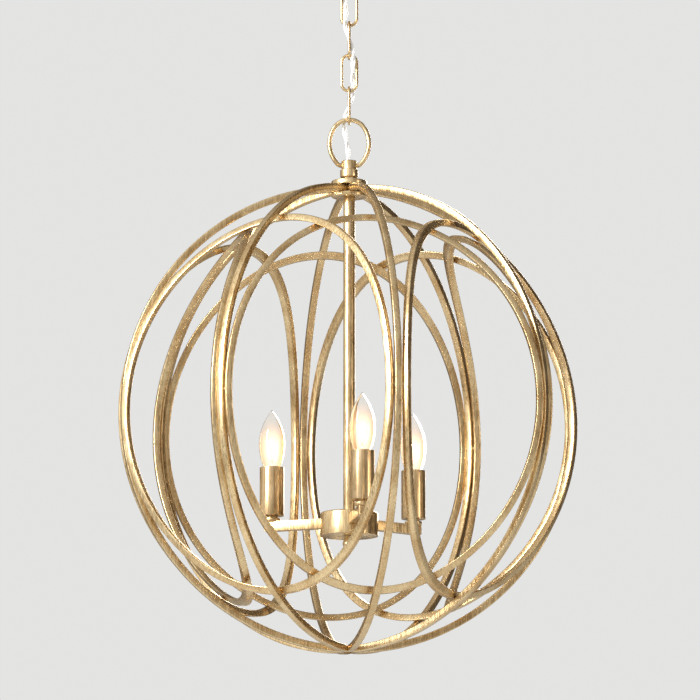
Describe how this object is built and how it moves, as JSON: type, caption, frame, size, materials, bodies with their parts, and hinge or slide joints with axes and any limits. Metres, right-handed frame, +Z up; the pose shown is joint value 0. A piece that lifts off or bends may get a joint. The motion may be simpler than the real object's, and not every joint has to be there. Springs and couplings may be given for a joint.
{
  "type": "orb chandelier",
  "caption": "Hanging lamp on a short chain: a ball-shaped cage of upright ribs and oval loops of square bar round a rod with candle lamps on square arms.",
  "frame": {"origin": "middle of the canopy's rim, on the ceiling plane, at the middle of the strap's screw hole line", "axes": "+Z up into the ceiling, -Y the side seen in front, +X to its right"},
  "size_m": [0.6034, 0.6034, 0.9504],
  "materials": {
    "antique_gold": "antique gold leaf over a warm brown ground",
    "zinc_steel": "zinc plated",
    "socket_black": "moulded",
    "clear_glass": "clear",
    "base_nickel": "bright",
    "clear_cord": "clear jacket over silvery wire",
    "lead_white": "plain"
  },
  "bodies": {
    "ceiling_set": {"mounting_strap": "zinc_steel", "mounting_nipple": "zinc_steel", "strap_nut": "zinc_steel", "canopy": "antique_gold", "canopy_nut": "antique_gold", "canopy_loop": "antique_gold"},
    "link_1": {"chain_link_1": "antique_gold"},
    "link_2": {"chain_link_2": "antique_gold"},
    "link_3": {"chain_link_3": "antique_gold"},
    "link_4": {"chain_link_4": "antique_gold"},
    "ring": {"suspension_ring": "antique_gold"},
    "fixture": {"loop_collar": "antique_gold", "hub_lock_nut": "antique_gold", "upper_hub_disc": "antique_gold", "lower_hub_disc": "antique_gold", "hub_nipple": "zinc_steel", "rib_1": "antique_gold", "rib_2": "antique_gold", "rib_3": "antique_gold", "rib_4": "antique_gold", "rib_5": "antique_gold", "rib_6": "antique_gold", "rib_7": "antique_gold", "rib_8": "antique_gold", "oval_1": "antique_gold", "oval_2": "antique_gold", "oval_3": "antique_gold", "oval_4": "antique_gold", "oval_5": "antique_gold", "oval_6": "antique_gold", "oval_7": "antique_gold", "oval_8": "antique_gold", "equator_rivets": "antique_gold", "main_rod": "antique_gold", "arm_hub": "antique_gold", "arm_hub_cover": "antique_gold", "centre_stud": "zinc_steel", "stud_nut": "zinc_steel", "arm_1": "antique_gold", "arm_2": "antique_gold", "arm_3": "antique_gold", "candle_seats": "antique_gold", "socket_nipples": "zinc_steel", "candle_cup_1": "antique_gold", "candle_cup_2": "antique_gold", "candle_cup_3": "antique_gold", "lamp_socket_1": "socket_black", "lamp_socket_2": "socket_black", "lamp_socket_3": "socket_black", "power_cord": "clear_cord", "arm_leads": "lead_white"},
    "bulb_1": {"bulb_glass_1": "clear_glass", "bulb_base_1": "base_nickel"},
    "bulb_2": {"bulb_glass_2": "clear_glass", "bulb_base_2": "base_nickel"},
    "bulb_3": {"bulb_glass_3": "clear_glass", "bulb_base_3": "base_nickel"},
    "finial_set": {"finial": "antique_gold"}
  },
  "joints": [
    {"name": "link_1_swing", "type": "hinge", "parent": "ceiling_set", "child": "link_1", "pos_m": [0, 0, -0.0705], "axis": [0, 1, 0], "range_deg": [-12, 12], "deforming": ["power_cord"]},
    {"name": "link_2_swing", "type": "hinge", "parent": "link_1", "child": "link_2", "pos_m": [0, 0, -0.1141], "axis": [1, 0, 0], "range_deg": [-12, 12], "deforming": ["power_cord"]},
    {"name": "link_3_swing", "type": "hinge", "parent": "link_2", "child": "link_3", "pos_m": [0, 0, -0.1582], "axis": [0, 1, 0], "range_deg": [-12, 12], "deforming": ["power_cord"]},
    {"name": "link_4_swing", "type": "hinge", "parent": "link_3", "child": "link_4", "pos_m": [0, 0, -0.2023], "axis": [1, 0, 0], "range_deg": [-12, 12], "deforming": ["power_cord"]},
    {"name": "ring_swing", "type": "hinge", "parent": "link_4", "child": "ring", "pos_m": [0, 0, -0.2464], "axis": [0, 1, 0], "range_deg": [-12, 12], "deforming": ["power_cord"]},
    {"name": "fixture_swing", "type": "hinge", "parent": "ring", "child": "fixture", "pos_m": [0, 0, -0.30242], "axis": [1, 0, 0], "range_deg": [-15, 15], "deforming": ["power_cord"]},
    {"name": "bulb_1_screw", "type": "hinge", "parent": "fixture", "child": "bulb_1", "pos_m": [0.01705, -0.10766, -0.715], "axis": [0, 0, 1], "continuous": true},
    {"name": "bulb_2_screw", "type": "hinge", "parent": "fixture", "child": "bulb_2", "pos_m": [0.08471, 0.0686, -0.715], "axis": [0, 0, 1], "continuous": true},
    {"name": "bulb_3_screw", "type": "hinge", "parent": "fixture", "child": "bulb_3", "pos_m": [-0.10176, 0.03906, -0.715], "axis": [0, 0, 1], "continuous": true},
    {"name": "finial_screw", "type": "hinge", "parent": "fixture", "child": "finial_set", "pos_m": [0, 0, -0.805], "axis": [0, 0, 1], "continuous": true}
  ]
}
